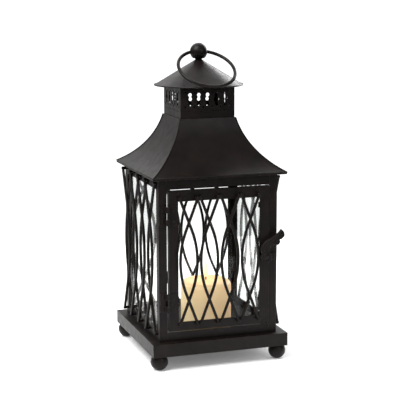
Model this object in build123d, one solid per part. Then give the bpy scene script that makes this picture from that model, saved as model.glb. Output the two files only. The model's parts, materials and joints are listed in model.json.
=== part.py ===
"""Hurricane candle lantern: a square sheet-metal lantern with wire lattices, a hinged
door, a flared roof with a pierced cupola, and a ring to carry it by.

Millimetres, +Z up. The origin is on the ground under the middle of the lantern, and the
door is on the -Y side, hinged on its left (-X) edge.
"""

import os
from math import atan2, cos, degrees, hypot, radians, sin, sqrt

from build123d import *

# ---- driving dimensions ---------------------------------------------------------------

# plinth and feet
base_width = 205.0
plinth_bottom_z = 21.0
plinth_height = 19.0
sheet = 1.2  # sheet metal of plinth, door frame, roof and cupola
plinth_lip = 22.0
foot_radius = 12.6
foot_inset = 12.0  # foot's axis in from the plinth's side
foot_flat = 0.4  # depth of the worn flat under each ball
foot_screw_radius = 2.0
foot_screw_depth = 12.0  # thread inside the ball
foot_screw_end_gap = 0.5  # between the screw's end and the thread's bottom

# body frame
body_width = 179.0
angle_leg = 12.0
angle_thickness = 1.5
angle_round = 0.9  # the folded outer corner of a post
bottom_rail_height = 13.0
bottom_rail_foot = 11.0
header_height = 15.0
header_flange = 9.0
floor_plate_gap = 0.5  # between the floor plate and each pane
header_bottom_z = 260.5

# glass
pane_thickness = 2.0
pane_overlap = 6.0
clip_thickness = 0.8
clip_width = 8.0
clip_reach = 5.0  # how far a clip covers the glass
clip_end_distance = 15.0  # outer clips from the rail and the header

# wire lattices
lattice_wire_radius = 2.1
lattice_arc_share = 0.5  # share of a wire's height that is bent; the rest is straight
lattice_units = 4
wire_end_gap = 1.2  # clear space between the two wire ends at a node
wire_stand_off = 0.3  # between the back wires and the frame; their feet bridge it
wire_foot_swell = 0.25  # a wire's foot, turned in to the frame, is this much thicker
wire_foot_proud = 0.15
wire_foot_round = 1.2
wire_side_gap = 0.1  # clear space between neighbouring wires at mid height
side_lattice_inset = 3.0  # the outermost nodes stand this far onto the post
side_lattice_low = 10.0  # wire ends above the bottom of the rail
side_lattice_high = 8.5  # wire ends above the bottom of the header

# door
door_side_gap = 2.1  # between door and post, on the hinge side
door_latch_gap = 1.2  # and on the latch side
door_bottom_gap = 2.5
door_top_gap = 1.7
door_proud = 3.0
door_depth = 8.0
stile_width = 13.9
door_top_rail = 15.5
door_bottom_rail = 12.8
door_glass_side_overlap = 3.0
door_glass_end_overlap = 8.0
door_clip_end_distance = 12.0  # outer clips from the window's ends
door_clip_shift = 25.0  # the middle clip stands this far above the window's middle
door_clip_reach = 1.0  # how far a clip shows in the window
door_lattice_lap = 5.0  # how far the wires reach onto the top rail
door_lattice_low_lap = 4.0  # and onto the bottom rail
door_lattice_side_lap = 0.3  # and, at mid height, onto the stiles
door_lattice_shift = 0.9  # the lattice sits this far towards the hinge side

# hinges
hinge_length = 27.0
hinge_low_z = 97.5
hinge_high_z = 223.5
knuckle_radius = 2.2
knuckle_gap = 0.3
hinge_pin_radius = 1.2
pin_clearance = 0.05
pin_head_radius = 1.9
pin_head_height = 1.0
pin_head_round = 0.35
leaf_thickness = 1.0
post_leaf_width = 9.0
post_leaf_set_back = 2.0  # from the post's edge
door_leaf_width = 10.5
rivet_radius = 1.6
rivet_shank_radius = 0.9
rivet_clearance = 0.02
rivet_head_height = 0.9
rivet_pitch = 15.0

# latch
latch_z = 157.0
rosette_margin = 1.65  # bare stile on each side of the rosette
rosette_thickness = 1.5
rosette_round = 0.9
spindle_radius = 2.5
spindle_clearance = 0.05
spindle_past_nut = 0.5
lever_boss_step = 0.7  # rosette showing round the lever's boss
lever_boss_height = 7.5
lever_thickness = 3.4
lever_stand_off = 3.2  # lever plate ahead of the rosette's face
lever_edge_round = 0.9
tongue_width = 7.0
tongue_thickness = 1.5
tongue_eye_rim = 1.2  # the tongue's eye stands out this far past its sides
tongue_past_door = 0.3  # how far the tongue reaches past the door's edge
latch_nut_flats = 8.0
latch_nut_height = 3.0
catch_width = 7.0
catch_height = 11.0
catch_thickness = 2.2
catch_round = 1.0
catch_set_back = 2.0  # from the post's edge
catch_drop = 8.0  # its lower edge under the latch's axis

# roof
eave_width = 200.6
roof_bottom_z = header_bottom_z + header_height
eave_lip = 3.0
roof_top_z = 354.0
roof_sag = 9.8  # how far the flared roof sags below a straight slope
roof_screw_radius = 2.0
roof_cupola_gap = 0.15  # between the roof's top edge and the cupola

# cupola
cupola_width = 82.2
cupola_top_z = 398.8
cupola_tuck = 8.0  # length of cupola inside the roof's opening
slot_count = 5
slot_pitch = 13.3
slot_middle_z = 381.0
slot_end_lobe_radius = 2.75
slot_end_lobe_offset = 7.0
slot_waist_radius = 4.1
slot_neck_width = 4.0
dot_radius = 1.6
dot_row_offset = 10.6
pierced_row_z = 364.3
pierced_row_radius = 0.9
pierced_row_count = 15
pierced_row_pitch = 4.4

# cap, finial and ring
cap_overhang = 7.9  # how far the cap's rim stands past the cupola's corners
cap_rim_gap = 0.2  # rim above the cupola's top edge
cap_rise = 40.0
cap_hem_radius = 1.1
cap_hem_lift = 0.66  # middle of the hem's roll above the rim
cap_blunt = 2.4  # the cone's tip is cut off this far below its apex
cap_plate_thickness = 1.2
cap_plate_gap = 0.1  # between the plate's edge and the cone
bridge_width = 12.0
bridge_thickness = 1.6
bridge_tab = 6.2
rod_radius = 2.5
rod_hole_clearance = 0.3
rod_tail = 5.0  # rod below the nut
rod_chamfer = 0.7
rod_end_gap = 0.3  # between the rod's top and the bottom of its hole
cap_nut_flats = 8.0
cap_nut_height = 4.0
cap_washer_radius = 6.0
cap_washer_thickness = 1.0
washer_clearance = 0.1
collar_radius = 5.5
collar_thickness = 1.4
ball_radius = 12.8
ball_rise = 11.0  # middle of the ball above the cap's blunt top
ball_web = 0.9  # metal between the rod's hole and the cross hole
ring_radius = 41.8
ring_wire_radius = 2.45
ring_hole_clearance = 0.3
ring_hole_azimuth = 2.0  # the cross hole's direction, from +X towards +Y
ring_rest_gap = 0.4

# screws
body_screw_radius = 2.0
screw_head_radius = 3.5
screw_head_height = 2.5
screw_head_round = 1.0
screw_hole_clearance = 0.15
thread_clearance = 0.03
screw_past = 3.0  # how far a self-tapping screw reaches past what it holds
screw_point = 0.8

# candle
candle_radius = 38.0
candle_height = 62.0
candle_shoulder = 8.0
candle_x = 9.5
candle_y = -3.0
wick_radius = 1.0
wick_round = 0.6
wick_above = 8.0
wick_inside = 15.0

# ---- sizes that follow ----------------------------------------------------------------

base_half = base_width / 2
plinth_top_z = plinth_bottom_z + plinth_height
body_half = body_width / 2
body_inner = body_half - angle_thickness  # inner face of posts, rails and headers
opening_half = body_half - angle_leg
rail_foot_top_z = plinth_top_z + angle_thickness
pane_inner = body_inner - pane_thickness
bottom_rail_top_z = plinth_top_z + bottom_rail_height
floor_plate_half = pane_inner - floor_plate_gap
floor_top_z = rail_foot_top_z + sheet
body_screw_y = body_inner - bottom_rail_foot / 2
roof_screw_y = body_inner - header_flange / 2

door_half = opening_half - door_side_gap
door_latch_half = opening_half - door_latch_gap
door_bottom_z = bottom_rail_top_z + door_bottom_gap
door_top_z = header_bottom_z - door_top_gap
door_front_y = -(body_half + door_proud)
door_sheet_y = door_front_y + sheet  # back face of the door frame's front flange
door_back_y = door_front_y + door_depth
window_half = door_half - stile_width
window_bottom_z = door_bottom_z + door_bottom_rail
window_top_z = door_top_z - door_top_rail
door_glass_half = window_half + door_glass_side_overlap

hinge_x = -(opening_half + door_half) / 2
hinge_y = door_front_y - knuckle_gap - knuckle_radius
latch_x = door_half - stile_width / 2
rosette_radius = stile_width / 2 - rosette_margin
lever_boss_radius = rosette_radius - lever_boss_step

eave_half = eave_width / 2
cupola_half = cupola_width / 2
cupola_inner = cupola_half - sheet
cap_rim_radius = cupola_half * sqrt(2) + cap_overhang
cap_rim_z = cupola_top_z + cap_rim_gap
cap_apex_z = cap_rim_z + cap_rise
cap_top_z = cap_apex_z - cap_blunt
cap_slope = cap_rise / cap_rim_radius
ball_z = cap_top_z + ball_rise

# inside the ball the ring's arc bows by this much, half of it each side of the hole's axis
ring_bow = ring_radius - sqrt(ring_radius**2 - ball_radius**2)
ring_hole_radius = ring_wire_radius + ring_bow / 2 + ring_hole_clearance
ring_centre_reach = ring_radius - ring_bow / 2  # from the hole's axis to the ring's middle

SIDES = {"front": 0, "right": 90, "back": 180, "left": 270}
CORNERS = {"front_left": 0, "front_right": 90, "back_right": 180, "back_left": 270}


# ---- small helpers --------------------------------------------------------------------


def block(x0, x1, y0, y1, z0, z1):
    """A box between two corners."""
    middle = Pos((x0 + x1) / 2, (y0 + y1) / 2, (z0 + z1) / 2)
    return middle * Box(abs(x1 - x0), abs(y1 - y0), abs(z1 - z0))


def upright(x, y, z0, z1, radius):
    """A vertical cylinder."""
    return Pos(x, y, (z0 + z1) / 2) * Cylinder(radius, z1 - z0)


def along_y(x, z, y0, y1, radius):
    """A cylinder whose axis runs front to back."""
    return Pos(x, (y0 + y1) / 2, z) * Rot(90, 0, 0) * Cylinder(radius, y1 - y0)


def hexagon(x, y, z0, z1, flats):
    """A vertical hexagonal prism, as wide across its flats as given."""
    outline = RegularPolygon(flats / 2, 6, major_radius=False)
    return Pos(x, y, z0) * extrude(outline, z1 - z0)


def turned(shape, angle):
    """The shape turned about the lantern's axis."""
    return Rot(0, 0, angle) * shape


def mitre(half, z0, z1):
    """The space of the front quarter of a square, cut at 45 degrees at both corners."""
    corners = [(0, 0), (-half, -half), (half, -half)]
    return Pos(0, 0, z0) * extrude(make_face(Polyline(*corners, close=True)), z1 - z0)


def save(name, shape):
    """Writes one named piece, or one group of equal pieces."""
    shape.label = name
    export_step(shape, f"parts/{name}.step")


def group(shapes):
    """Separate solids kept side by side in one node."""
    return Compound(children=[solid for shape in shapes for solid in shape.solids()])


# ---- plinth and feet ------------------------------------------------------------------


def side_middles(distance):
    """The points in the middle of each side, this far from the lantern's axis."""
    return [(0, -distance), (distance, 0), (0, distance), (-distance, 0)]


def corner_points(distance):
    """The four points at plus and minus this distance in X and Y."""
    return [(x, y) for x in (-distance, distance) for y in (-distance, distance)]


def plinth_top_plate():
    half = base_half - sheet
    plate = block(-half, half, -half, half, plinth_top_z - sheet, plinth_top_z)
    for x, y in side_middles(body_screw_y):
        hole = body_screw_radius + screw_hole_clearance
        plate -= upright(x, y, plinth_bottom_z, plinth_top_z + 1, hole)
    return plate


def plinth_side(name):
    """A folded side: a mitred web with a lip turned in under the plinth."""
    half = base_half
    web = block(-half, half, -half, -half + sheet, plinth_bottom_z, plinth_top_z)
    web &= mitre(half, plinth_bottom_z, plinth_top_z)
    full = name in ("front", "back")
    lip_half = half - sheet if full else half - plinth_lip
    lip_top = plinth_bottom_z + sheet
    lip = block(-lip_half, lip_half, -half + sheet, -half + plinth_lip, plinth_bottom_z, lip_top)
    side = web + lip
    if full:
        for x in (-half + foot_inset, half - foot_inset):
            hole = foot_screw_radius + screw_hole_clearance
            side -= upright(x, -half + foot_inset, plinth_bottom_z - 1, lip_top + 1, hole)
    return turned(side, SIDES[name])


def ball_foot(x, y):
    """A metal ball, flat where it stands and where it meets the plinth."""
    centre_z = foot_radius - foot_flat
    ball = Pos(x, y, centre_z) * Sphere(foot_radius)
    reach = foot_radius + 1
    ball &= block(x - reach, x + reach, y - reach, y + reach, 0, plinth_bottom_z)
    thread = upright(x, y, plinth_bottom_z - foot_screw_depth, plinth_bottom_z + 1, foot_screw_radius)
    return ball - thread


def foot_screw(x, y):
    head_z = plinth_bottom_z + sheet
    end_z = plinth_bottom_z - foot_screw_depth + foot_screw_end_gap
    shank = upright(x, y, end_z, head_z, foot_screw_radius - thread_clearance)
    head = upright(x, y, head_z, head_z + screw_head_height, screw_head_radius)
    return shank + fillet(head.edges().group_by(Axis.Z)[-1], screw_head_round)


# ---- body frame -----------------------------------------------------------------------


def corner_post():
    """A folded angle that stands at the front left corner."""
    near, far = -body_half, -body_half + angle_leg
    post = block(near, far, near, near + angle_thickness, plinth_top_z, roof_bottom_z)
    post += block(near, near + angle_thickness, near, far, plinth_top_z, roof_bottom_z)
    outer = post.edges().filter_by(Axis.Z).sort_by(lambda e: e.center().X + e.center().Y)[0]
    return fillet(outer, angle_round)


def bottom_rail():
    """The front bottom rail: an upright strip with a foot turned in over the plinth."""
    x = opening_half
    rail = block(-x, x, -body_half, -body_inner, plinth_top_z, bottom_rail_top_z)
    foot_y = -body_inner + bottom_rail_foot
    rail += block(-x, x, -body_inner, foot_y, plinth_top_z, rail_foot_top_z)
    hole = body_screw_radius + screw_hole_clearance
    return rail - upright(0, -body_screw_y, plinth_top_z - 1, rail_foot_top_z + 1, hole)


def header_rail():
    """The front header: an upright strip with a flange turned in under the roof."""
    x = opening_half
    rail = block(-x, x, -body_half, -body_inner, header_bottom_z, roof_bottom_z)
    flange_z = roof_bottom_z - angle_thickness
    rail += block(-x, x, -body_inner, -body_inner + header_flange, flange_z, roof_bottom_z)
    hole = roof_screw_radius + screw_hole_clearance
    return rail - upright(0, -roof_screw_y, flange_z - 1, roof_bottom_z + 1, hole)


def floor_plate():
    half = floor_plate_half
    plate = block(-half, half, -half, half, rail_foot_top_z, floor_top_z)
    for x, y in side_middles(body_screw_y):
        plate -= upright(x, y, rail_foot_top_z - 1, floor_top_z + 1, body_screw_radius)
    return plate


def body_screw(x, y):
    """A self-tapping screw up through the plinth plate, a rail foot and the floor plate."""
    seat = plinth_top_z - sheet
    head = upright(x, y, seat - screw_head_height, seat, screw_head_radius)
    head = fillet(head.edges().group_by(Axis.Z)[0], screw_head_round)
    shank = upright(x, y, seat, floor_top_z + screw_past, body_screw_radius - thread_clearance)
    return head + chamfer(shank.edges().group_by(Axis.Z)[-1], screw_point)


# ---- glass ----------------------------------------------------------------------------


def side_pane():
    """The pane of the front quarter, which the other three sides use turned."""
    half = opening_half + pane_overlap
    top = header_bottom_z + pane_overlap
    return block(-half, half, -body_inner, -pane_inner, rail_foot_top_z, top)


def pane_clips():
    """Three tabs on each side of a pane, soldered to the posts' inner legs."""
    middle = (bottom_rail_top_z + header_bottom_z) / 2
    heights = [bottom_rail_top_z + clip_end_distance, middle, header_bottom_z - clip_end_distance]
    half = opening_half + pane_overlap
    clips = []
    for z in heights:
        for side in (-1, 1):
            inner, outer = side * (half - clip_reach), side * body_inner
            y0, y1 = -pane_inner, -pane_inner + clip_thickness
            low, high = z - clip_width / 2, z + clip_width / 2
            clips.append(block(min(inner, outer), max(inner, outer), y0, y1, low, high))
    return clips


# ---- wire lattices --------------------------------------------------------------------


def half_lean(bow, half_height):
    """Half the angle from upright at which a wire's straight ends lean, to reach its bow."""
    tangent = 0.0
    for _ in range(20):
        straight = 2 * (1 - lattice_arc_share) / (1 - tangent**2)
        tangent = bow / half_height / (straight + lattice_arc_share)
    return atan2(tangent, 1)


def bowed_wire(x_end, bow, z_low, z_high, y_face, y_wire):
    """One wire: straight at both ends and bent between them, so that its middle stands at
    the bow from its ends. It lies at y_wire, and its ends are turned in to y_face."""
    half_height = (z_high - z_low) / 2
    middle_z = (z_low + z_high) / 2
    lean = 2 * half_lean(abs(bow), half_height)
    bend_half = lattice_arc_share * half_height
    run = (half_height - bend_half) * sin(lean) / cos(lean)
    bend_x = x_end + (run if bow > 0 else -run)
    low_bend = (bend_x, y_wire, middle_z - bend_half)
    high_bend = (bend_x, y_wire, middle_z + bend_half)
    spine = Line((x_end, y_wire, z_low), low_bend)
    spine += ThreePointArc(low_bend, (x_end + bow, y_wire, middle_z), high_bend)
    spine += Line(high_bend, (x_end, y_wire, z_high))
    disc = Plane(origin=spine @ 0, z_dir=spine % 0) * Circle(lattice_wire_radius)
    wire = sweep(disc, path=spine)
    y_front = y_wire - lattice_wire_radius - wire_foot_proud
    for z in (z_low, z_high):
        foot = along_y(x_end, z, y_front, y_face, lattice_wire_radius + wire_foot_swell)
        wire += fillet(foot.edges().group_by(Axis.Y)[0], wire_foot_round)
    return wire


def lattice(half_span, z_low, z_high, y_face, right_in_front):
    """Two layers of bowed wires; each unit has one wire bowed to the right in one layer
    and one bowed to the left in the other."""
    pitch = 2 * half_span / lattice_units
    end_shift = lattice_wire_radius + wire_end_gap / 2
    bow = pitch - end_shift - lattice_wire_radius - wire_side_gap / 2
    back_y = y_face - wire_stand_off - lattice_wire_radius
    front_y = back_y - 2 * lattice_wire_radius
    right_y, left_y = (front_y, back_y) if right_in_front else (back_y, front_y)
    wires = []
    for unit in range(lattice_units):
        left = -half_span + unit * pitch
        right = left + pitch
        wires.append(bowed_wire(left + end_shift, bow, z_low, z_high, y_face, right_y))
        wires.append(bowed_wire(right - end_shift, -bow, z_low, z_high, y_face, left_y))
    return wires


def side_lattice():
    low = plinth_top_z + side_lattice_low
    high = header_bottom_z + side_lattice_high
    return lattice(opening_half + side_lattice_inset, low, high, -body_half, True)


def door_lattice():
    low = window_bottom_z - door_lattice_low_lap
    high = window_top_z + door_lattice_lap
    half_span = window_half + door_lattice_side_lap
    wires = lattice(half_span, low, high, door_front_y, False)  # the latch clears these
    return [Pos(-door_lattice_shift, 0, 0) * wire for wire in wires]


# ---- door -----------------------------------------------------------------------------


def rivet_heights():
    """The heights of the rivets of both hinges."""
    return [z + s * rivet_pitch / 2 for z in (hinge_low_z, hinge_high_z) for s in (-1, 1)]


def door_leaf_start():
    return hinge_x + knuckle_radius + knuckle_gap


def door_leaf_middle():
    return door_leaf_start() + door_leaf_width / 2


def post_leaf_middle():
    return -opening_half - post_leaf_set_back - post_leaf_width / 2


def door_edge(side):
    """The door's outer edge on its hinge side (-1) or its latch side (1)."""
    return door_latch_half if side > 0 else -door_half


def door_stile(side):
    """An angle as tall as the door: a front flange and a return on the outer edge."""
    outer, inner = door_edge(side), side * window_half
    wall = outer - side * sheet
    front = sorted((outer, inner))
    edge = sorted((outer, wall))
    stile = block(*front, door_front_y, door_sheet_y, door_bottom_z, door_top_z)
    stile += block(*edge, door_front_y, door_back_y, door_bottom_z, door_top_z)
    if side > 0:
        hole = spindle_radius + spindle_clearance
        stile -= along_y(latch_x, latch_z, door_front_y - 1, door_back_y, hole)
    else:
        for z in rivet_heights():
            x = door_leaf_middle()
            stile -= along_y(x, z, door_front_y - 1, door_back_y, rivet_shank_radius)
    return stile


def door_rail(edge_z, inner_z):
    """A rail between the stiles, with its return on the door's outer edge."""
    wall_z = edge_z + (sheet if inner_z > edge_z else -sheet)
    low, high = sorted((edge_z, inner_z))
    wall_low, wall_high = sorted((edge_z, wall_z))
    start, end = door_edge(-1) + sheet, door_edge(1) - sheet
    rail = block(-window_half, window_half, door_front_y, door_sheet_y, low, high)
    return rail + block(start, end, door_sheet_y, door_back_y, wall_low, wall_high)


def door_glass():
    half = door_glass_half
    low = window_bottom_z - door_glass_end_overlap
    high = window_top_z + door_glass_end_overlap
    return block(-half, half, door_sheet_y, door_sheet_y + pane_thickness, low, high)


def door_glass_clips():
    """Three tabs on each stile's return that hold the glass against the frame."""
    y0 = door_sheet_y + pane_thickness
    middle = (window_bottom_z + window_top_z) / 2 + door_clip_shift
    low, high = window_bottom_z + door_clip_end_distance, window_top_z - door_clip_end_distance
    clips = []
    for z in (low, middle, high):
        for side in (-1, 1):
            outer = door_edge(side) - side * sheet
            ends = sorted((outer, side * (window_half - door_clip_reach)))
            bottom, top = z - clip_width / 2, z + clip_width / 2
            clips.append(block(*ends, y0, y0 + clip_thickness, bottom, top))
    return clips


# ---- hinges ---------------------------------------------------------------------------


def knuckle(z0, z1):
    return upright(hinge_x, hinge_y, z0, z1, knuckle_radius)


def pin_bore(z0, z1):
    return upright(hinge_x, hinge_y, z0, z1, hinge_pin_radius + pin_clearance)


def post_leaf(z):
    """The leaf on the post, joggled forward to the two outer knuckles."""
    low, high = z - hinge_length / 2, z + hinge_length / 2
    inner = -opening_half - post_leaf_set_back
    outer = inner - post_leaf_width
    leaf = block(outer, inner, -body_half - leaf_thickness, -body_half, low, high)
    third = hinge_length / 3
    front = hinge_y - leaf_thickness / 2
    for z0, z1 in ((low, low + third - knuckle_gap), (high - third + knuckle_gap, high)):
        leaf += block(inner - leaf_thickness, inner, front, -body_half, z0, z1)
        leaf += block(inner - leaf_thickness, hinge_x, front, front + leaf_thickness, z0, z1)
        leaf += knuckle(z0, z1)
    leaf -= pin_bore(low, high)
    for s in (-1, 1):
        hole_z = z + s * rivet_pitch / 2
        leaf -= along_y(post_leaf_middle(), hole_z, hinge_y, -body_half + 1, rivet_shank_radius)
    return leaf


def door_leaf(z):
    """The leaf on the door's stile, with the middle knuckle."""
    low, high = z - hinge_length / 2, z + hinge_length / 2
    third = hinge_length / 3
    start = door_leaf_start()
    back = door_front_y
    leaf = block(start, start + door_leaf_width, back - leaf_thickness, back, low, high)
    z0, z1 = low + third, high - third
    leaf += block(hinge_x, start, back - leaf_thickness, back, z0, z1)
    leaf += knuckle(z0, z1)
    leaf -= pin_bore(low, high)
    for s in (-1, 1):
        hole_z = z + s * rivet_pitch / 2
        leaf -= along_y(door_leaf_middle(), hole_z, hinge_y, door_front_y + 1, rivet_shank_radius)
    return leaf


def hinge_pin(z):
    low, high = z - hinge_length / 2, z + hinge_length / 2
    pin = upright(hinge_x, hinge_y, low, high, hinge_pin_radius)
    for z0 in (low - pin_head_height, high):
        head = upright(hinge_x, hinge_y, z0, z0 + pin_head_height, pin_head_radius)
        pin += fillet(head.edges(), pin_head_round)
    return pin


def rivet(x, z, y_head, y_end):
    """A round-head rivet: its head lies on the leaf, its shank runs back to y_end."""
    sphere_radius = (rivet_radius**2 + rivet_head_height**2) / (2 * rivet_head_height)
    dome = Pos(x, y_head + sphere_radius - rivet_head_height, z) * Sphere(sphere_radius)
    reach = 2 * sphere_radius
    dome &= block(x - reach, x + reach, y_head - reach, y_head, z - reach, z + reach)
    return dome + along_y(x, z, y_head, y_end, rivet_shank_radius - rivet_clearance)


# ---- latch ----------------------------------------------------------------------------


def latch_faces():
    """The depths of the latch's layers, from the door's face outwards."""
    rosette_y = door_front_y - rosette_thickness
    plate_back_y = rosette_y - lever_stand_off
    return rosette_y, plate_back_y, plate_back_y - lever_thickness


def latch_rosette():
    rosette_y = latch_faces()[0]
    disc = along_y(latch_x, latch_z, rosette_y, door_front_y, rosette_radius)
    disc = fillet(disc.edges().group_by(Axis.Y)[0], rosette_round)
    hole = spindle_radius + spindle_clearance
    return disc - along_y(latch_x, latch_z, rosette_y - 1, door_front_y + 1, hole)


def lever_outline():
    """The scrolled lever's outline in the door's plane, from the pivot."""
    handle_top = Spline((-5.5, 4), (-7.4, 12), (-1, 21.6), (8.6, 26.8), (15, 30.2), (23.7, 38.4))
    tip = Spline((23.7, 38.4), (28.2, 33.6), (29.2, 29), (26.4, 25), (21.4, 23))
    lobe = Spline((21.4, 23), (22, 18.5), (18.6, 15.2), (14, 16.5))
    neck = Spline((14, 16.5), (8.5, 17), (4.6, 13), (5.4, 5.5))
    foot = Spline((5.4, 5.5), (9.5, -1), (8.4, -7.5), (2, -9.8), (-4.5, -6.8), (-7.2, -1), (-5.5, 4))
    return make_face([handle_top, tip, lobe, neck, foot])


def latch_lever():
    """The cast lever with its boss and the spindle that passes through the stile."""
    rosette_y, plate_back_y, plate_front_y = latch_faces()
    plane = Plane(origin=(latch_x, plate_back_y, latch_z), x_dir=(1, 0, 0), z_dir=(0, -1, 0))
    plate = extrude(plane * lever_outline(), lever_thickness)
    plate = fillet(plate.edges().group_by(Axis.Y)[0], lever_edge_round)
    boss_front = rosette_y - lever_boss_height
    boss = along_y(latch_x, latch_z, boss_front, rosette_y, lever_boss_radius)
    boss = fillet(boss.edges().group_by(Axis.Y)[0], lever_edge_round)
    end_y = door_back_y + knuckle_gap + tongue_thickness + latch_nut_height + spindle_past_nut
    spindle = along_y(latch_x, latch_z, rosette_y, end_y, spindle_radius)
    return plate + boss + spindle


def latch_tongue():
    """The flat tongue behind the stile, pointing at the post."""
    y0, y1 = door_back_y + knuckle_gap, door_back_y + knuckle_gap + tongue_thickness
    end_x = door_latch_half + tongue_past_door
    half = tongue_width / 2
    bar = block(latch_x, end_x, y0, y1, latch_z - half, latch_z + half)
    bar += along_y(latch_x, latch_z, y0, y1, half + tongue_eye_rim)
    return bar - along_y(latch_x, latch_z, y0 - 1, y1 + 1, spindle_radius)


def latch_nut():
    y0 = door_back_y + knuckle_gap + tongue_thickness
    plane = Plane(origin=(latch_x, y0, latch_z), x_dir=(1, 0, 0), z_dir=(0, 1, 0))
    outline = RegularPolygon(latch_nut_flats / 2, 6, major_radius=False) - Circle(spindle_radius)
    return extrude(plane * outline, latch_nut_height)


def latch_catch():
    """A small raised catch on the right post, beside the latch."""
    x0 = opening_half + catch_set_back
    y0 = -body_half - catch_thickness
    low = latch_z - catch_drop
    catch = block(x0, x0 + catch_width, y0, -body_half, low, low + catch_height)
    return fillet(catch.edges().group_by(Axis.Y)[0], catch_round)


# ---- roof -----------------------------------------------------------------------------


def arc_through(start, end, sag):
    """Centre and radius of the arc from start to end that sags below its chord."""
    chord = hypot(end[0] - start[0], end[1] - start[1])
    radius = (chord**2 / 4 + sag**2) / (2 * sag)
    middle = ((start[0] + end[0]) / 2, (start[1] + end[1]) / 2)
    along = ((end[0] - start[0]) / chord, (end[1] - start[1]) / chord)
    out = (-along[1], along[0])
    if out[1] < 0:
        out = (along[1], -along[0])
    reach = radius - sag
    return (middle[0] + out[0] * reach, middle[1] + out[1] * reach), radius


def roof_arc(offset):
    """The roof's curve, as distance from the axis and height, this far below its top face."""
    start = (eave_half, roof_bottom_z + eave_lip)
    end = (cupola_half + sheet + roof_cupola_gap, roof_top_z)
    centre, radius = arc_through(start, end, roof_sag)
    angles = [atan2(p[1] - centre[1], p[0] - centre[0]) for p in (start, end)]
    points = []
    for share in (0, 0.5, 1):
        angle = angles[0] + (angles[1] - angles[0]) * share
        reach = radius + offset
        points.append((centre[0] + reach * cos(angle), centre[1] + reach * sin(angle)))
    return points


def roof_panel():
    """The front quarter of the roof: a flared sheet, an eave lip and a flange turned in."""
    top, under = roof_arc(0), roof_arc(sheet)
    edges = [
        ThreePointArc(*top),
        Line(top[2], under[2]),
        ThreePointArc(*under),
        Line(under[0], top[0]),
    ]
    skin = make_face(edges)
    lip_outer, lip_inner = eave_half, eave_half - sheet
    skin += Polygon(
        (lip_outer, roof_bottom_z),
        (lip_outer, top[0][1]),
        under[0],
        (lip_inner, roof_bottom_z),
        align=None,
    )
    flange_inner = body_inner - header_flange
    skin += Polygon(
        (flange_inner, roof_bottom_z),
        (lip_outer, roof_bottom_z),
        (lip_outer, roof_bottom_z + sheet),
        (flange_inner, roof_bottom_z + sheet),
        align=None,
    )
    plane = Plane(origin=(eave_half, 0, 0), x_dir=(0, -1, 0), z_dir=(-1, 0, 0))
    panel = extrude(plane * skin, 2 * eave_half)
    panel &= mitre(eave_half + 1, roof_bottom_z - 1, roof_top_z + 5)
    hole = roof_screw_radius + screw_hole_clearance
    flange_top = roof_bottom_z + sheet
    return panel - upright(0, -roof_screw_y, roof_bottom_z - 1, flange_top + 1, hole)


def roof_screw(x, y):
    """A screw up through a header's flange into the roof's flange."""
    seat = roof_bottom_z - angle_thickness
    head = upright(x, y, seat - screw_head_height, seat, screw_head_radius)
    head = fillet(head.edges().group_by(Axis.Z)[0], screw_head_round)
    shank = upright(x, y, seat, roof_bottom_z + sheet + screw_past, roof_screw_radius - thread_clearance)
    return head + chamfer(shank.edges().group_by(Axis.Z)[-1], screw_point)


# ---- cupola ---------------------------------------------------------------------------


def baluster_slot():
    """The outline of one slot: a lobe at each end of a wider waist."""
    slot = Rectangle(slot_neck_width, 2 * slot_end_lobe_offset) + Circle(slot_waist_radius)
    for side in (-1, 1):
        slot += Pos(0, side * slot_end_lobe_offset) * Circle(slot_end_lobe_radius)
    return slot


def cupola_panel():
    """The front wall of the cupola, mitred at its corners and pierced."""
    low = roof_top_z - cupola_tuck
    wall = block(-cupola_half, cupola_half, -cupola_half, -cupola_inner, low, cupola_top_z)
    wall &= mitre(cupola_half, low, cupola_top_z)
    holes = []
    for index in range(slot_count):
        x = (index - (slot_count - 1) / 2) * slot_pitch
        holes.append(Pos(x, slot_middle_z) * baluster_slot())
    for index in range(slot_count + 1):
        x = (index - slot_count / 2) * slot_pitch
        for side in (-1, 1):
            holes.append(Pos(x, slot_middle_z + side * dot_row_offset) * Circle(dot_radius))
    for index in range(pierced_row_count):
        x = (index - (pierced_row_count - 1) / 2) * pierced_row_pitch
        holes.append(Pos(x, pierced_row_z) * Circle(pierced_row_radius))
    plane = Plane(origin=(0, -cupola_half - 1, 0), x_dir=(1, 0, 0), z_dir=(0, -1, 0))
    cutters = [extrude(plane * hole, -sheet - 2) for hole in holes]
    return wall - cutters


# ---- cap and finial -------------------------------------------------------------------


def cap_radius_at(z):
    """The radius of the cap's outer cone at a height."""
    return (cap_apex_z - z) / cap_slope


def cone_cap():
    """A thin cone with a rolled rim and a hole at the top for the rod."""
    drop = sheet / cos(atan2(cap_slope, 1))  # the sheet's thickness measured upright
    hole = rod_radius + rod_hole_clearance
    outline = Polygon(
        (cap_rim_radius, cap_rim_z),
        (cap_radius_at(cap_top_z), cap_top_z),
        (hole, cap_top_z),
        (hole, cap_apex_z - drop - hole * cap_slope),
        (cap_rim_radius - drop / cap_slope, cap_rim_z),
        align=None,
    )
    hem = Pos(cap_rim_radius - cap_hem_radius, cap_rim_z + cap_hem_lift) * Circle(cap_hem_radius)
    return revolve(Plane.XZ * (outline + hem), Axis.Z)


def cap_base_plate():
    """The disc that closes the cone and rests on the cupola's walls."""
    top = cupola_top_z + cap_plate_thickness
    drop = sheet / cos(atan2(cap_slope, 1))
    inner_radius = (cap_apex_z - drop - top) / cap_slope - cap_plate_gap
    plate = upright(0, 0, cupola_top_z, top, inner_radius)
    return plate - upright(0, 0, cupola_top_z - 1, top + 1, rod_radius + rod_hole_clearance)


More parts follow.
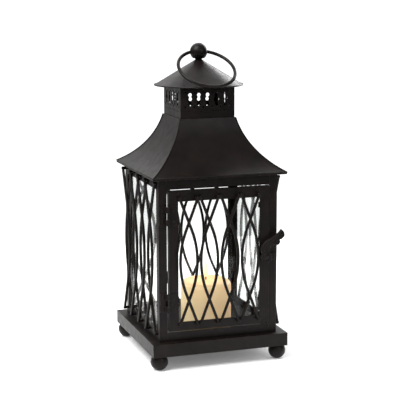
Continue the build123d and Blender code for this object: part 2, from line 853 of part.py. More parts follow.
def cap_bridge():
    """A strap across the cupola with a tab soldered to each side wall."""
    z0, z1 = cupola_top_z - bridge_thickness, cupola_top_z
    half = bridge_width / 2
    strap = block(-cupola_inner, cupola_inner, -half, half, z0, z1)
    for side in (-1, 1):
        ends = sorted((side * cupola_inner, side * (cupola_inner - bridge_thickness)))
        strap += block(*ends, -half, half, z0 - bridge_tab, z0)
    return strap - upright(0, 0, z0 - 1, z1 + 1, rod_radius + rod_hole_clearance)


def rod_bottom_z():
    bridge_z = cupola_top_z - bridge_thickness
    return bridge_z - cap_washer_thickness - cap_nut_height - rod_tail


def cap_rod():
    top = ball_hole_top_z() - rod_end_gap
    rod = upright(0, 0, rod_bottom_z(), top, rod_radius)
    return chamfer(rod.edges().group_by(Axis.Z)[0], rod_chamfer)


def cap_washer():
    top = cupola_top_z - bridge_thickness
    disc = upright(0, 0, top - cap_washer_thickness, top, cap_washer_radius)
    return disc - upright(0, 0, top - 5, top + 1, rod_radius + washer_clearance)


def cap_nut():
    top = cupola_top_z - bridge_thickness - cap_washer_thickness
    nut = hexagon(0, 0, top - cap_nut_height, top, cap_nut_flats)
    return nut - upright(0, 0, top - cap_nut_height - 1, top + 1, rod_radius)


def finial_collar():
    z0, z1 = cap_top_z, cap_top_z + collar_thickness
    collar = upright(0, 0, z0, z1, collar_radius)
    return collar - upright(0, 0, z0 - 1, z1 + 1, rod_radius + rod_hole_clearance)


def ball_seat_z():
    return cap_top_z + collar_thickness


def ball_hole_top_z():
    """The top of the rod's blind hole, under the cross hole."""
    return ball_z - ring_hole_radius - ball_web


def finial_ball():
    ball = Pos(0, 0, ball_z) * Sphere(ball_radius)
    reach = ball_radius + 1
    ball -= block(-reach, reach, -reach, reach, ball_z - reach, ball_seat_z())
    bore = Rot(0, 0, ring_hole_azimuth) * Rot(0, 90, 0) * Cylinder(ring_hole_radius, 4 * reach)
    ball -= Pos(0, 0, ball_z) * bore
    return ball - upright(0, 0, ball_seat_z() - 1, ball_hole_top_z(), rod_radius)


# ---- ring -----------------------------------------------------------------------------


def ring_gap(tilt):
    """The space between the ring and the cap when the ring leans this far below level."""
    slope_length = hypot(1, cap_slope)
    hem_r = cap_rim_radius - cap_hem_radius
    hem_z = cap_rim_z + cap_hem_lift
    gap = ball_radius
    for step in range(360):
        angle = radians(step)
        down = ring_centre_reach - ring_radius * cos(angle)  # along the lean
        along = ring_radius * sin(angle)  # along the hole
        r = hypot(down * cos(tilt), along)
        z = ball_z - down * sin(tilt)
        if hypot(down, along) < ball_radius + ring_wire_radius:
            continue
        to_hem = hypot(r - hem_r, z - hem_z) - cap_hem_radius
        to_cone = (z - cap_apex_z + cap_slope * r) / slope_length
        near = to_hem if r > cap_rim_radius else min(to_hem, to_cone)
        gap = min(gap, near - ring_wire_radius)
    return gap


def ring_rest_tilt():
    """The lean at which the ring lies on the cap, in radians below level."""
    low, high = 0.0, radians(60)
    for _ in range(40):
        middle = (low + high) / 2
        if ring_gap(middle) > ring_rest_gap:
            low = middle
        else:
            high = middle
    return low


def ring_bail():
    tilt = ring_rest_tilt()
    turn = radians(ring_hole_azimuth)
    hole_way = Vector(cos(turn), sin(turn), 0)
    lean_way = Vector(sin(turn) * cos(tilt), -cos(turn) * cos(tilt), -sin(tilt))
    centre = Vector(0, 0, ball_z) + lean_way * ring_centre_reach
    plane = Plane(origin=centre, x_dir=hole_way, z_dir=hole_way.cross(lean_way))
    return plane.location * Torus(ring_radius, ring_wire_radius)


# ---- candle ---------------------------------------------------------------------------


def candle():
    top = floor_top_z + candle_height
    body = upright(candle_x, candle_y, floor_top_z, top, candle_radius)
    body = fillet(body.edges().group_by(Axis.Z)[-1], candle_shoulder)
    return body - upright(candle_x, candle_y, top - wick_inside, top + 1, wick_radius)


def candle_wick():
    top = floor_top_z + candle_height
    wick = upright(candle_x, candle_y, top - wick_inside, top + wick_above, wick_radius)
    return fillet(wick.edges().group_by(Axis.Z)[-1], wick_round)


# ---- the whole lantern ----------------------------------------------------------------


def build():
    os.makedirs("parts", exist_ok=True)

    save("plinth_top_plate", plinth_top_plate())
    for name in SIDES:
        save(f"plinth_side_{name}", plinth_side(name))
    feet = corner_points(base_half - foot_inset)
    save("ball_feet", group(ball_foot(x, y) for x, y in feet))
    save("foot_screws", group(foot_screw(x, y) for x, y in feet))

    for name, angle in CORNERS.items():
        post = turned(corner_post(), angle)
        if name == "front_left":
            for z in rivet_heights():
                x = post_leaf_middle()
                post -= along_y(x, z, -body_half - 1, -body_inner + 1, rivet_shank_radius)
        save(f"corner_post_{name}", post)
    save("bottom_rails", group(turned(bottom_rail(), angle) for angle in SIDES.values()))
    save("header_rails", group(turned(header_rail(), angle) for angle in SIDES.values()))
    save("floor_plate", floor_plate())
    save("body_screws", group(body_screw(x, y) for x, y in side_middles(body_screw_y)))

    closed_sides = ("right", "back", "left")
    for name in closed_sides:
        save(f"glass_pane_{name}", turned(side_pane(), SIDES[name]))
        save(f"wire_lattice_{name}", turned(group(side_lattice()), SIDES[name]))
    clips = [turned(clip, SIDES[name]) for name in closed_sides for clip in pane_clips()]
    save("glass_pane_clips", group(clips))

    for name, angle in SIDES.items():
        save(f"roof_panel_{name}", turned(roof_panel(), angle))
        save(f"cupola_panel_{name}", turned(cupola_panel(), angle))
    save("roof_screws", group(roof_screw(x, y) for x, y in side_middles(roof_screw_y)))

    save("cap_base_plate", cap_base_plate())
    save("cone_cap", cone_cap())
    save("cap_bridge", cap_bridge())
    save("cap_rod", cap_rod())
    save("cap_washer", cap_washer())
    save("cap_nut", cap_nut())
    save("finial_collar", finial_collar())
    save("finial_ball", finial_ball())
    save("carrying_ring", ring_bail())

    save("door_stile_hinge_side", door_stile(-1))
    save("door_stile_latch_side", door_stile(1))
    save("door_rail_top", door_rail(door_top_z, window_top_z))
    save("door_rail_bottom", door_rail(door_bottom_z, window_bottom_z))
    save("door_glass", door_glass())
    save("door_glass_clips", group(door_glass_clips()))
    save("door_wire_lattice", group(door_lattice()))

    hinge_heights = (hinge_low_z, hinge_high_z)
    save("hinge_post_leaves", group(post_leaf(z) for z in hinge_heights))
    save("hinge_door_leaves", group(door_leaf(z) for z in hinge_heights))
    save("hinge_pins", group(hinge_pin(z) for z in hinge_heights))
    post_rivets = [
        rivet(post_leaf_middle(), z, -body_half - leaf_thickness, -body_inner)
        for z in rivet_heights()
    ]
    save("hinge_post_rivets", group(post_rivets))
    door_rivets = [
        rivet(door_leaf_middle(), z, door_front_y - leaf_thickness, door_sheet_y)
        for z in rivet_heights()
    ]
    save("hinge_door_rivets", group(door_rivets))

    save("latch_rosette", latch_rosette())
    save("latch_lever", latch_lever())
    save("latch_tongue", latch_tongue())
    save("latch_nut", latch_nut())
    save("latch_catch", latch_catch())

    save("pillar_candle", candle())
    save("candle_wick", candle_wick())

    lean = degrees(ring_rest_tilt())
    print("ring leans", round(lean, 3), "degrees below level, hole radius", round(ring_hole_radius, 3))
    print("hinge axis", round(hinge_x, 3), round(hinge_y, 3), "latch axis", round(latch_x, 3), latch_z)


build()
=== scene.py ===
"""The looks of the hurricane candle lantern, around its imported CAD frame. Metres."""

import json
import math

import bmesh
import bpy
from mathutils import Matrix, Vector

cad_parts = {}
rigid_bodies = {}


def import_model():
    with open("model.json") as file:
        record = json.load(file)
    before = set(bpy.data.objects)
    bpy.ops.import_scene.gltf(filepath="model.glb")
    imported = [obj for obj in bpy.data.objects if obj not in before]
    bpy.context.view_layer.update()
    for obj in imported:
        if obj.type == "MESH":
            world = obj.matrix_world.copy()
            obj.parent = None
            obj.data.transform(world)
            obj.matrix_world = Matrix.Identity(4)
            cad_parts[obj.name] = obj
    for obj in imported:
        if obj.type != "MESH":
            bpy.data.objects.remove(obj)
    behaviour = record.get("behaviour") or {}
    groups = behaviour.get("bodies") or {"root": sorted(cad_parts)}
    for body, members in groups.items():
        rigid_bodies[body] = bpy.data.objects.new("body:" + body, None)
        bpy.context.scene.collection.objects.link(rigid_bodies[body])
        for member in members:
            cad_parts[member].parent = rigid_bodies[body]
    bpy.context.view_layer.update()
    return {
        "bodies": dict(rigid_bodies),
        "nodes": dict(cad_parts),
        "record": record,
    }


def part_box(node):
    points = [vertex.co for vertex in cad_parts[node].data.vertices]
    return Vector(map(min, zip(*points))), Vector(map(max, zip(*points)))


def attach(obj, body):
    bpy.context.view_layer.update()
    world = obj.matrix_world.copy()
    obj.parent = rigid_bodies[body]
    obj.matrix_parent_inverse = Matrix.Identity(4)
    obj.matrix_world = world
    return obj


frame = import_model()

# ---- camera, from the lantern's middle axis -------------------------------------------

VIEW_AZIMUTH = math.radians(-18.34)
VIEW_ELEVATION = math.radians(10.09)
VIEW_ROLL = math.radians(-0.15)
VIEW_DISTANCE = 1.8328
AIM_HEIGHT = 0.2268
AIM_SIDE = 0.00146
LENS = 110.36
SENSOR = 36.0

# ---- light ----------------------------------------------------------------------------

BACKDROP_WHITE = 1.25
ROOM_FRONT = 0.07
ROOM_BACK = 0.6
ROOM_TOP = 0.25
FLOOR_GLOW = 0.14
FLOOR_SIZE = 1.5

# Each softbox's place, the point it faces, its width and height, and its power in watts.
SOFTBOXES = {
    "high_back": ((0.2, 1.3, 1.6), (0, 0, 0), (2.0, 1.6), 17),
    "left_high": ((-1.1, -0.5, 1.7), (0, 0, 0.2), (1.3, 1.3), 56),
    "back_right": ((1.6, 1.3, 1.0), (0, 0, 0.2), (1.2, 1.4), 40),
    "front_fill": ((0.8, -2.1, 1.2), (0, 0, 0.2), (1.2, 1.0), 12),
}

# ---- paint ----------------------------------------------------------------------------

PAINT_DARK = (13, 10, 9)
PAINT_LIGHT = (25, 19, 17)
PAINT_ROUGHNESS = (0.34, 0.46)
PAINT_SPECULAR = 0.16
# The lighter bronze at the edges is partly rubbed wear and partly a painted highlight along the edges.
RUBBED_BRONZE_AND_HIGHLIGHT = (96, 82, 70)
RUB_AND_HIGHLIGHT_STRENGTH = 0.55
RUB_AND_HIGHLIGHT_RADIUS = 0.0007  # how far in from an edge the paint is rubbed to bronze and lightened as a painted edge highlight
SKIN_STRENGTH = 0.10
SKIN_DEPTH = 0.0003  # of the paint's fine orange peel

# ---- glass and wax --------------------------------------------------------------------

GLASS_TINT = (0.985, 0.992, 0.988, 1)
GLASS_INDEX = 1.45
GLASS_ROUGHNESS = 0.03
GLASS_MIRROR = 0.3  # share kept of what real glass mirrors
WAX_GLOW = 0.14  # extra glow at the wick
WAX_LIT = 0.33  # glow of all the wax
WAX_GLOW_NEAR = 0.010  # the extra glow is full to this distance from the wick's top
WAX_GLOW_FAR = 0.075  # and gone at this one
WARM_START = 0.004  # the wax turns warmer along X from this far before the wick
WARM_END = 0.030  # to this far past it
WARM_SHARE = 0.75

# ---- flame ----------------------------------------------------------------------------

FLAME_SINK = 0.004  # how far the flame starts below the wick's top
FLAME_HEIGHT = 0.027
FLAME_BELLY = 0.0042
FLAME_THINNEST = 0.00015
FLAME_STEPS = 22
FLAME_STRENGTH = 1.05
FLAME_LIGHT_POWER = 0.022
FLAME_LIGHT_COLOUR = (1.0, 0.72, 0.42)
FLAME_LIGHT_RADIUS = 0.006
FLAME_LIGHT_RISE = 0.010  # above the wick's top

# ---- roof seams -----------------------------------------------------------------------

EAVE_LIP = 0.003
SEAM_RADIUS = 0.0009
SEAM_STEPS = 24
SEAM_TOP_GAP = 0.0005  # the seams stop this far below the roof's top
EAVE_ROLL_RADIUS = 0.0008
EAVE_ROLL_INSET = 0.0002
EAVE_ROLL_SHARES = (0.004, 0.5, 0.996)  # where the roll's points are along each side
RAY_START = 0.1  # how far in front of the roof the rays that find its profile start

# ---- latch lever's casting ------------------------------------------------------------

LEVER_BOSS_STEP = 0.0009  # from the boss's face back to the plate's
# Each raised line's points, (sideways, up) in millimetres from the pivot, and its radius in metres.
LEVER_LINES = {
    "latch_rim_top": (
        [(-4.6, 4.4), (-6.4, 8), (-6.5, 12), (-4.6, 16.4), (-0.4, 20.6), (4.4, 23.8),
         (9.0, 26.0), (14.6, 28.9), (19.4, 32.8), (23.4, 36.8)],
        0.0009,
    ),
    "latch_rim_under": (
        [(5.2, 7.2), (5.8, 11.4), (8.6, 14.6), (12.6, 16.6), (16.4, 16.6), (19.6, 17.8),
         (20.4, 21.0), (18.2, 22.6), (15.8, 21.2), (16.2, 18.8)],
        0.0008,
    ),
    "latch_rim_end": (
        [(25.0, 26.2), (27.2, 29.6), (26.8, 33.0), (24.6, 35.4), (22.2, 34.0), (22.4, 31.2), (24.2, 30.8)],
        0.0008,
    ),
    "latch_vein": (
        [(-1.8, 7.0), (-2.2, 12.2), (2.0, 18.0), (9.4, 21.8), (15.6, 25.4), (19.8, 29.2)],
        0.0006,
    ),
}
# Each scroll's centre, (sideways, up) in millimetres from the pivot, and which way it turns.
LEVER_SCROLLS = {"left": (-2.6, -5.7, 1), "right": (3.2, -6.0, -1), "side": (5.9, -0.2, -1)}
SCROLL_STEPS = 21
SCROLL_SWEEP = 470  # degrees
SCROLL_REACH = 2.3  # millimetres
SCROLL_TIGHTENS = 0.72  # the share of its reach that a scroll loses by its end
SCROLL_RADIUS = 0.00055
SCROLL_SIDES = 8
PIVOT_DOME_SINK = 0.0001
PIVOT_DOME_RADIUS = 0.0034
PIVOT_DOME_RISE = 0.0017

# ---- round bars -----------------------------------------------------------------------

END_REACH = 0.7  # how far a bar's chamfered end goes past its last point, as a share of its radius
END_TAPER = 0.55  # the radius of that end, as a share of the bar's


def srgb(red, green, blue):
    """A linear colour from 0 to 255 screen values."""
    def linear(value):
        value /= 255
        return value / 12.92 if value <= 0.04045 else ((value + 0.055) / 1.055) ** 2.4
    return (linear(red), linear(green), linear(blue), 1.0)


# ---- node helpers ---------------------------------------------------------------------


def new_material(name):
    """A node material, its Principled shader and its node tree."""
    material = bpy.data.materials.new(name)
    material.use_nodes = True
    tree = material.node_tree
    return material, tree.nodes["Principled BSDF"], tree


def add(tree, kind, **values):
    """A node with its properties and its named input values set."""
    node = tree.nodes.new("ShaderNode" + kind)
    for key, value in values.items():
        if key in node.bl_rna.properties:
            setattr(node, key, value)
        else:
            node.inputs[key.replace("_", " ")].default_value = value
    return node


def noise(tree, scale, detail=4.0, roughness=0.55, distortion=0.0, stretch=(1, 1, 1)):
    """Object-space noise; scale is in waves per metre."""
    place = add(tree, "TexCoord")
    mapping = add(tree, "Mapping")
    mapping.inputs["Scale"].default_value = stretch
    tree.links.new(place.outputs["Object"], mapping.inputs["Vector"])
    texture = add(tree, "TexNoise", Scale=scale, Detail=detail, Roughness=roughness)
    texture.inputs["Distortion"].default_value = distortion
    tree.links.new(mapping.outputs["Vector"], texture.inputs["Vector"])
    return texture.outputs["Fac"]


def ramp(tree, source, *stops):
    """A colour ramp fed by source; each stop is (position, colour)."""
    node = add(tree, "ValToRGB")
    elements = node.color_ramp.elements
    for element, (position, colour) in zip(elements, (stops[0], stops[-1])):
        element.position, element.color = position, colour
    for position, colour in stops[1:-1]:
        element = elements.new(position)
        element.color = colour
    tree.links.new(source, node.inputs["Fac"])
    return node.outputs["Color"]


def spread(tree, source, low, high, from_low=0.3, from_high=0.7):
    """source's middle range spread over low to high."""
    node = add(tree, "MapRange")
    values = {"From Min": from_low, "From Max": from_high, "To Min": low, "To Max": high}
    for key, value in values.items():
        node.inputs[key].default_value = value
    tree.links.new(source, node.inputs["Value"])
    return node.outputs["Result"]


def feed(tree, socket, value):
    """Links another socket into this one, or sets a plain value."""
    if isinstance(value, bpy.types.NodeSocket):
        tree.links.new(value, socket)
    else:
        socket.default_value = value


def mixed(tree, factor, first, second):
    """Two colours mixed by a factor; each may be a socket or a colour."""
    node = add(tree, "Mix", data_type="RGBA", blend_type="MIX")
    for key, value in (("Factor", factor), (6, first), (7, second)):
        feed(tree, node.inputs[key], value)
    return node.outputs[2]


def arithmetic(tree, operation, first, second):
    """The result of one sum or product; each side may be a socket or a number."""
    node = add(tree, "Math", operation=operation)
    for socket, value in zip(node.inputs, (first, second)):
        feed(tree, socket, value)
    return node.outputs[0]


def product(tree, first, second):
    """One side times the other."""
    return arithmetic(tree, "MULTIPLY", first, second)


# ---- materials ------------------------------------------------------------------------


def bronze_paint():
    """Satin black-brown paint: faint mottling, a fine skin, edges rubbed to bronze, which is partly wear
    and partly a painted edge highlight.
    """
    material, shader, tree = new_material("bronze_black_paint")
    mottle = noise(tree, 38, detail=6, distortion=0.4)
    base = ramp(tree, mottle, (0.30, srgb(*PAINT_DARK)), (0.72, srgb(*PAINT_LIGHT)))
    round_edges = add(tree, "Bevel", samples=6, Radius=RUB_AND_HIGHLIGHT_RADIUS)
    geometry = add(tree, "NewGeometry")
    facing = add(tree, "VectorMath", operation="DOT_PRODUCT")
    tree.links.new(round_edges.outputs["Normal"], facing.inputs[0])
    tree.links.new(geometry.outputs["Normal"], facing.inputs[1])
    edge = spread(tree, facing.outputs["Value"], 1.0, 0.0, 0.80, 0.995)
    patchy = spread(tree, noise(tree, 160, detail=3), 0.0, 1.0, 0.42, 0.62)
    # Edges lightened to bronze: partly rubbed wear, partly a painted edge highlight.
    rub_and_highlight = product(tree, edge, patchy)
    colour = mixed(tree, product(tree, rub_and_highlight, RUB_AND_HIGHLIGHT_STRENGTH), base, srgb(*RUBBED_BRONZE_AND_HIGHLIGHT))
    tree.links.new(colour, shader.inputs["Base Color"])
    rough = spread(tree, noise(tree, 90, detail=5), *PAINT_ROUGHNESS)
    tree.links.new(rough, shader.inputs["Roughness"])
    shader.inputs["Metallic"].default_value = 0.0
    shader.inputs["Specular IOR Level"].default_value = PAINT_SPECULAR
    skin = add(tree, "Bump", Strength=SKIN_STRENGTH, Distance=SKIN_DEPTH)
    tree.links.new(noise(tree, 1500, detail=2), skin.inputs["Height"])
    tree.links.new(round_edges.outputs["Normal"], skin.inputs["Normal"])
    tree.links.new(skin.outputs["Normal"], shader.inputs["Normal"])
    return material


def clear_glass():
    """A clear pane: see-through, with a mirror share that grows towards grazing."""
    material, shader, tree = new_material("clear_glass")
    tree.nodes.remove(shader)
    clear = add(tree, "BsdfTransparent", Color=GLASS_TINT)
    gloss = add(tree, "BsdfGlossy", Roughness=GLASS_ROUGHNESS, Color=(1, 1, 1, 1))
    fresnel = add(tree, "Fresnel", IOR=GLASS_INDEX)
    mix = add(tree, "MixShader")
    tree.links.new(product(tree, fresnel.outputs[0], GLASS_MIRROR), mix.inputs[0])
    tree.links.new(clear.outputs[0], mix.inputs[1])
    tree.links.new(gloss.outputs[0], mix.inputs[2])
    tree.links.new(mix.outputs[0], tree.nodes["Material Output"].inputs["Surface"])
    return material


def zinc_steel():
    """Bright zinc plate with a fine brushed grain."""
    material, shader, tree = new_material("zinc_steel")
    plate = ramp(
        tree, noise(tree, 300, detail=4), (0.3, srgb(150, 150, 146)), (0.7, srgb(196, 196, 190))
    )
    tree.links.new(plate, shader.inputs["Base Color"])
    grain = spread(tree, noise(tree, 900, stretch=(1, 1, 12)), 0.28, 0.45)
    tree.links.new(grain, shader.inputs["Roughness"])
    shader.inputs["Metallic"].default_value = 1.0
    return material


def ivory_wax(wick_top):
    """Ivory wax, lit from within: brightest at the wick, warmer towards +X and down the pillar."""
    material, shader, tree = new_material("ivory_wax")
    place = add(tree, "TexCoord")
    away = add(tree, "VectorMath", operation="DISTANCE")
    away.inputs[1].default_value = wick_top
    tree.links.new(place.outputs["Object"], away.inputs[0])
    glow = spread(tree, away.outputs["Value"], 1.0, 0.0, WAX_GLOW_NEAR, WAX_GLOW_FAR)
    cloud = noise(tree, 45, detail=4)
    wax = ramp(tree, cloud, (0.3, srgb(226, 208, 164)), (0.7, srgb(240, 226, 188)))
    parts = add(tree, "SeparateXYZ")
    tree.links.new(place.outputs["Object"], parts.inputs[0])
    warm_from, warm_to = wick_top.x - WARM_START, wick_top.x + WARM_END
    warmth = spread(tree, parts.outputs["X"], 0.0, WARM_SHARE, warm_from, warm_to)
    wax = mixed(tree, warmth, wax, srgb(240, 190, 140))
    tree.links.new(mixed(tree, glow, wax, srgb(240, 204, 146)), shader.inputs["Base Color"])
    shader.inputs["Roughness"].default_value = 0.42
    shader.inputs["Subsurface Weight"].default_value = 0.35
    shader.inputs["Subsurface Radius"].default_value = (1.0, 0.45, 0.2)
    shader.inputs["Subsurface Scale"].default_value = 0.008
    shader.inputs["Emission Color"].default_value = srgb(255, 214, 160)
    extra = product(tree, product(tree, glow, glow), WAX_GLOW)
    strength = arithmetic(tree, "ADD", extra, WAX_LIT)
    tree.links.new(strength, shader.inputs["Emission Strength"])
    bump = add(tree, "Bump", Strength=0.15, Distance=0.0008)
    tree.links.new(noise(tree, 120, detail=3), bump.inputs["Height"])
    tree.links.new(bump.outputs["Normal"], shader.inputs["Normal"])
    return material


def charred_wick():
    """Burnt cotton, darker and lighter along its twist."""
    material, shader, tree = new_material("cotton_wick")
    twist = noise(tree, 1400, stretch=(1, 1, 0.3))
    char = ramp(tree, twist, (0.35, srgb(24, 20, 18)), (0.7, srgb(70, 58, 46)))
    tree.links.new(char, shader.inputs["Base Color"])
    shader.inputs["Roughness"].default_value = 0.9
    return material


def flame_glow(low, high):
    """The flame: clear blue at its foot, white-hot in its belly, amber at its tip."""
    material, shader, tree = new_material("candle_flame")
    place = add(tree, "TexCoord")
    parts = add(tree, "SeparateXYZ")
    tree.links.new(place.outputs["Object"], parts.inputs[0])
    height = spread(tree, parts.outputs["Z"], 0.0, 1.0, low, high)
    colour = ramp(
        tree, height,
        (0.0, srgb(150, 160, 215)), (0.14, srgb(255, 216, 150)),
        (0.5, srgb(255, 238, 190)), (1.0, srgb(255, 186, 120)),
    )
    tree.links.new(colour, shader.inputs["Emission Color"])
    shader.inputs["Base Color"].default_value = (1, 0.8, 0.5, 1)
    shader.inputs["Emission Strength"].default_value = FLAME_STRENGTH
    return material


def studio_floor():
    """A matt white floor with a little light of its own."""
    material, shader, _ = new_material("studio_floor")
    shader.inputs["Base Color"].default_value = (0.92, 0.92, 0.92, 1)
    shader.inputs["Emission Color"].default_value = (1, 1, 1, 1)
    shader.inputs["Emission Strength"].default_value = FLOOR_GLOW
    shader.inputs["Roughness"].default_value = 0.9
    shader.inputs["Specular IOR Level"].default_value = 0.2
    return material


def put(obj, material):
    """One material over the whole object."""
    obj.data.materials.clear()
    obj.data.materials.append(material)


# ---- mesh helpers ---------------------------------------------------------------------


def mesh_object(name, shape):
    """The bmesh as a smooth object in the scene."""
    bmesh.ops.recalc_face_normals(shape, faces=shape.faces)
    mesh = bpy.data.meshes.new(name)
    shape.to_mesh(mesh)
    shape.free()
    for polygon in mesh.polygons:
        polygon.use_smooth = True
    obj = bpy.data.objects.new(name, mesh)
    bpy.context.scene.collection.objects.link(obj)
    return obj


def join_rings(shape, below, above):
    """Four-sided faces between two rings of the same count."""
    for step in range(len(below)):
        following = (step + 1) % len(below)
        shape.faces.new((below[step], below[following], above[following], above[step]))


# ---- the flame ------------------------------------------------------------------------


def turned_mesh(name, outline, centre, segments=48):
    """A surface turned about an upright axis; outline is (radius, height) from the bottom."""
    shape = bmesh.new()
    rings = []
    for radius, height in outline:
        if radius == 0:
            rings.append([shape.verts.new((centre[0], centre[1], height))])
            continue
        ring = []
        for step in range(segments):
            angle = 2 * math.pi * step / segments
            x = centre[0] + radius * math.cos(angle)
            y = centre[1] + radius * math.sin(angle)
            ring.append(shape.verts.new((x, y, height)))
        rings.append(ring)
    for below, above in zip(rings, rings[1:]):
        for step in range(segments):
            following = (step + 1) % segments
            corners = [below[step % len(below)], below[following % len(below)]]
            corners += [above[following % len(above)], above[step % len(above)]]
            face = list(dict.fromkeys(corners))
            if len(face) > 2:
                shape.faces.new(face)
    return mesh_object(name, shape)


def make_flame():
    """A still flame round the wick's top."""
    wick_low, wick_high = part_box("candle_wick")
    middle = (wick_low + wick_high) / 2
    foot = wick_high.z - FLAME_SINK
    outline = []
    for step in range(FLAME_STEPS + 1):
        share = step / FLAME_STEPS
        # A teardrop: the powers bring its widest place down and draw out its tip.
        width = FLAME_BELLY * math.sin(math.pi * share ** 0.62) ** 1.15 * (1.15 - 0.35 * share)
        is_point = step in (0, FLAME_STEPS)
        radius = 0 if is_point else max(width, FLAME_THINNEST)
        outline.append((radius, foot + FLAME_HEIGHT * share))
    flame = turned_mesh("candle_flame", outline, middle)
    put(flame, flame_glow(foot, foot + FLAME_HEIGHT))
    flame.visible_shadow = False
    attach(flame, "candle")


# ---- small solid details --------------------------------------------------------------


def tube(name, points, radius, sides=10, closed=False):
    """A round bar along points, with chamfered ends, or a closed loop of it."""
    points = [Vector(point) for point in points]
    count = len(points)
    tangents = []
    for index in range(count):
        if closed:
            ahead, behind = points[(index + 1) % count], points[index - 1]
        else:
            ahead, behind = points[min(index + 1, count - 1)], points[max(index - 1, 0)]
        tangents.append((ahead - behind).normalized())
    normal = tangents[0].orthogonal().normalized()
    rows = []
    shape = bmesh.new()

    def row(centre, tangent, normal, reach):
        other = tangent.cross(normal)
        ring = []
        for step in range(sides):
            angle = 2 * math.pi * step / sides
            offset = normal * math.cos(angle) + other * math.sin(angle)
            ring.append(shape.verts.new(centre + offset * reach))
        return ring

    for index in range(count):
        tangent = tangents[index]
        normal = (normal - tangent * normal.dot(tangent)).normalized()
        if not closed and index == 0:
            end = points[0] - tangent * radius * END_REACH
            rows.append(row(end, tangent, normal, radius * END_TAPER))
        rows.append(row(points[index], tangent, normal, radius))
        if not closed and index == count - 1:
            end = points[-1] + tangent * radius * END_REACH
            rows.append(row(end, tangent, normal, radius * END_TAPER))
    pairs = list(zip(rows, rows[1:]))
    if closed:
        turn = best_turn(rows[-1], rows[0])
        pairs.append((rows[-1], rows[0][turn:] + rows[0][:turn]))
    for below, above in pairs:
        join_rings(shape, below, above)
    if not closed:
        shape.faces.new(rows[0][::-1])
        shape.faces.new(rows[-1])
    return mesh_object(name, shape)


def best_turn(last, first):
    """How far to turn the first ring of a loop to meet the last one untwisted."""
    def gap(turn):
        turned = first[turn:] + first[:turn]
        return sum((a.co - b.co).length for a, b in zip(last, turned))
    return min(range(len(first)), key=gap)


def dome(name, centre, radius, rise, rings=6, sides=20):
    """A shallow dome that faces the front (-Y)."""
    shape = bmesh.new()
    rows = []
    for ring in range(rings):
        angle = math.pi / 2 * ring / rings
        reach, height = radius * math.cos(angle), rise * math.sin(angle)
        row = []
        for step in range(sides):
            turn = 2 * math.pi * step / sides
            offset = (reach * math.cos(turn), -height, reach * math.sin(turn))
            row.append(shape.verts.new(centre + Vector(offset)))
        rows.append(row)
    top = shape.verts.new(centre + Vector((0, -rise, 0)))
    for below, above in zip(rows, rows[1:]):
        join_rings(shape, below, above)
    for step in range(sides):
        shape.faces.new((rows[-1][step], rows[-1][(step + 1) % sides], top))
    shape.faces.new(rows[0][::-1])
    return mesh_object(name, shape)


def painted(obj, body):
    """A detail in the lantern's paint that rides a body."""
    put(obj, looks["bronze_black_paint"])
    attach(obj, body)


def roof_profile():
    """The front roof panel's outer face: (distance from the middle axis, height) upwards."""
    node = frame["nodes"]["roof_panel_front"]
    inverse = node.matrix_world.inverted()
    low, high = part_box("roof_panel_front")
    profile = []
    for step in range(SEAM_STEPS + 1):
        z = low.z + EAVE_LIP + (high.z - SEAM_TOP_GAP - low.z - EAVE_LIP) * step / SEAM_STEPS
        start = inverse @ Vector((0, low.y - RAY_START, z))
        hit, where, *_ = node.ray_cast(start, inverse.to_3x3() @ Vector((0, 1, 0)))
        if hit:
            profile.append((-(node.matrix_world @ where).y, z))
    return profile


def make_roof_seams():
    """Soldered beads down the roof's four hips and a rolled edge round the eave."""
    profile = roof_profile()
    for name, x, y in (("fl", -1, -1), ("fr", 1, -1), ("br", 1, 1), ("bl", -1, 1)):
        seam = tube(f"roof_seam_{name}", [(x * d, y * d, z) for d, z in profile], SEAM_RADIUS)
        painted(seam, "lantern")
    low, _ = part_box("roof_panel_front")
    half, z = -low.y - EAVE_ROLL_INSET, low.z + EAVE_LIP
    corners = [(-half, -half), (half, -half), (half, half), (-half, half)]
    path = []
    for (x0, y0), (x1, y1) in zip(corners, corners[1:] + corners[:1]):
        for share in EAVE_ROLL_SHARES:
            path.append((x0 + (x1 - x0) * share, y0 + (y1 - y0) * share, z))
    painted(tube("eave_roll", path, EAVE_ROLL_RADIUS, closed=True), "lantern")


def make_latch_details():
    """The cast lever's raised rims and vein, the small scrolls on its foot, and its pivot dome."""
    joints = {joint["name"]: joint for joint in frame["record"]["behaviour"]["joints"]}
    pivot = Vector(joints["latch_turn"]["pos_m"])
    front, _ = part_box("latch_lever")
    boss_y = front.y
    plate_y = boss_y + LEVER_BOSS_STEP

    def at(x, z, y=plate_y):
        """A point on the lever's face, from millimetres beside and above the pivot."""
        return Vector((pivot.x + x / 1000, y, pivot.z + z / 1000))

    for name, (points, radius) in LEVER_LINES.items():
        line = [at(x, z) for x, z in smooth(points)]
        painted(tube(name, line, radius), "latch")
    for name, (x, z, turn) in LEVER_SCROLLS.items():
        scroll = []
        for step in range(SCROLL_STEPS + 1):
            share = step / SCROLL_STEPS
            angle = math.radians(90 + turn * SCROLL_SWEEP * share)
            reach = SCROLL_REACH * (1 - SCROLL_TIGHTENS * share)
            scroll.append(at(x + reach * math.cos(angle), z + reach * math.sin(angle)))
        painted(tube(f"latch_scroll_{name}", scroll, SCROLL_RADIUS, sides=SCROLL_SIDES), "latch")
    foot = at(0, 0, boss_y + PIVOT_DOME_SINK)
    painted(dome("latch_pivot_dome", foot, PIVOT_DOME_RADIUS, PIVOT_DOME_RISE), "latch")


def smooth(points, steps=8):
    """A Catmull-Rom curve through points, in this many steps from each to the next."""
    padded = [points[0]] + list(points) + [points[-1]]
    line = []
    for corners in zip(padded, padded[1:], padded[2:], padded[3:]):
        for step in range(steps):
            line.append(tuple(catmull_rom(*values, step / steps) for values in zip(*corners)))
    return line + [points[-1]]


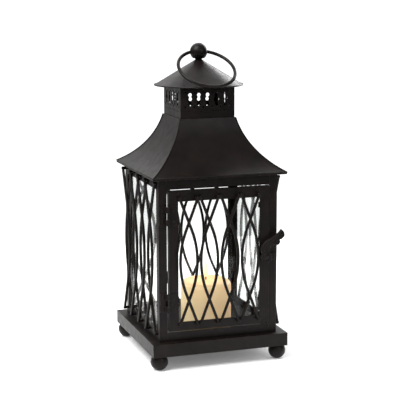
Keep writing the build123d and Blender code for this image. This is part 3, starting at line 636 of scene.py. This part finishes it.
def catmull_rom(p, q, r, s, t):
    """The value at share t from q to r, with p before them and s after."""
    square, cube = 2 * p - 5 * q + 4 * r - s, 3 * q - p - 3 * r + s
    return 0.5 * (2 * q + (r - p) * t + square * t * t + cube * t**3)


# ---- stage ----------------------------------------------------------------------------


def make_floor():
    """The floor under the feet."""
    bpy.ops.mesh.primitive_plane_add(size=FLOOR_SIZE)
    floor = bpy.context.object
    floor.name = "studio_floor"
    put(floor, studio_floor())


def make_world():
    """White to look at; as a lamp it is bright behind and above and dim in front."""
    world = bpy.data.worlds.new("studio")
    bpy.context.scene.world = world
    world.use_nodes = True
    tree = world.node_tree
    background = tree.nodes["Background"]
    background.inputs["Color"].default_value = (1, 1, 1, 1)
    place = add(tree, "TexCoord")
    parts = add(tree, "SeparateXYZ")
    tree.links.new(place.outputs["Generated"], parts.inputs[0])
    behind = spread(tree, parts.outputs["Y"], ROOM_FRONT, ROOM_BACK, -0.1, 0.8)
    above = spread(tree, parts.outputs["Z"], 0.0, ROOM_TOP, 0.2, 0.9)
    lamp = arithmetic(tree, "ADD", behind, above)
    path = add(tree, "LightPath")
    amount = add(tree, "MapRange")
    tree.links.new(lamp, amount.inputs["To Min"])
    amount.inputs["To Max"].default_value = BACKDROP_WHITE
    tree.links.new(path.outputs["Is Camera Ray"], amount.inputs["Value"])
    tree.links.new(amount.outputs["Result"], background.inputs["Strength"])


def softbox(name, place, aim, size, power):
    """An area light at place that faces aim."""
    light = bpy.data.lights.new(name, "AREA")
    light.shape = "RECTANGLE"
    light.size, light.size_y = size
    light.energy = power
    obj = bpy.data.objects.new(name, light)
    obj.location = place
    obj.rotation_mode = "QUATERNION"
    obj.rotation_quaternion = (Vector(aim) - Vector(place)).to_track_quat("-Z", "Y")
    bpy.context.scene.collection.objects.link(obj)


def make_candle_light(wick_top):
    """The flame's own light on the wax and the inside of the frame."""
    light = bpy.data.lights.new("flame_light", "POINT")
    light.energy = FLAME_LIGHT_POWER
    light.color = FLAME_LIGHT_COLOUR
    light.shadow_soft_size = FLAME_LIGHT_RADIUS
    obj = bpy.data.objects.new("flame_light", light)
    obj.location = (wick_top.x, wick_top.y, wick_top.z + FLAME_LIGHT_RISE)
    bpy.context.scene.collection.objects.link(obj)
    obj.parent = frame["bodies"]["candle"]


def make_camera():
    """The camera, aimed beside the lantern's middle axis and rolled a little."""
    back = Vector((
        math.sin(VIEW_AZIMUTH) * math.cos(VIEW_ELEVATION),
        -math.cos(VIEW_AZIMUTH) * math.cos(VIEW_ELEVATION),
        math.sin(VIEW_ELEVATION),
    ))
    side = Vector((math.cos(VIEW_AZIMUTH), math.sin(VIEW_AZIMUTH), 0))
    up = back.cross(side)
    right = side * math.cos(VIEW_ROLL) + up * math.sin(VIEW_ROLL)
    up = up * math.cos(VIEW_ROLL) - side * math.sin(VIEW_ROLL)
    data = bpy.data.cameras.new("camera")
    data.lens, data.sensor_width = LENS, SENSOR
    camera = bpy.data.objects.new("camera", data)
    place = Vector((0, 0, AIM_HEIGHT)) + side * AIM_SIDE + back * VIEW_DISTANCE
    camera.matrix_world = Matrix((
        (right.x, up.x, back.x, place.x),
        (right.y, up.y, back.y, place.y),
        (right.z, up.z, back.z, place.z),
        (0, 0, 0, 1),
    ))
    bpy.context.scene.collection.objects.link(camera)
    bpy.context.scene.camera = camera


# ---- the scene ------------------------------------------------------------------------

wick_low, wick_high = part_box("candle_wick")
wick_top = Vector(((wick_low.x + wick_high.x) / 2, (wick_low.y + wick_high.y) / 2, wick_high.z))
looks = {
    "bronze_black_paint": bronze_paint(),
    "clear_glass": clear_glass(),
    "zinc_steel": zinc_steel(),
    "ivory_wax": ivory_wax(wick_top),
    "cotton_wick": charred_wick(),
}
for part in frame["record"]["subparts"]:
    put(frame["nodes"][part["node"]], looks[part["material_slot"]])

make_roof_seams()
make_latch_details()
make_flame()
make_candle_light(wick_top)
make_floor()
make_world()
for name, settings in SOFTBOXES.items():
    softbox(name, *settings)
make_camera()
bpy.context.scene.view_settings.view_transform = "Standard"
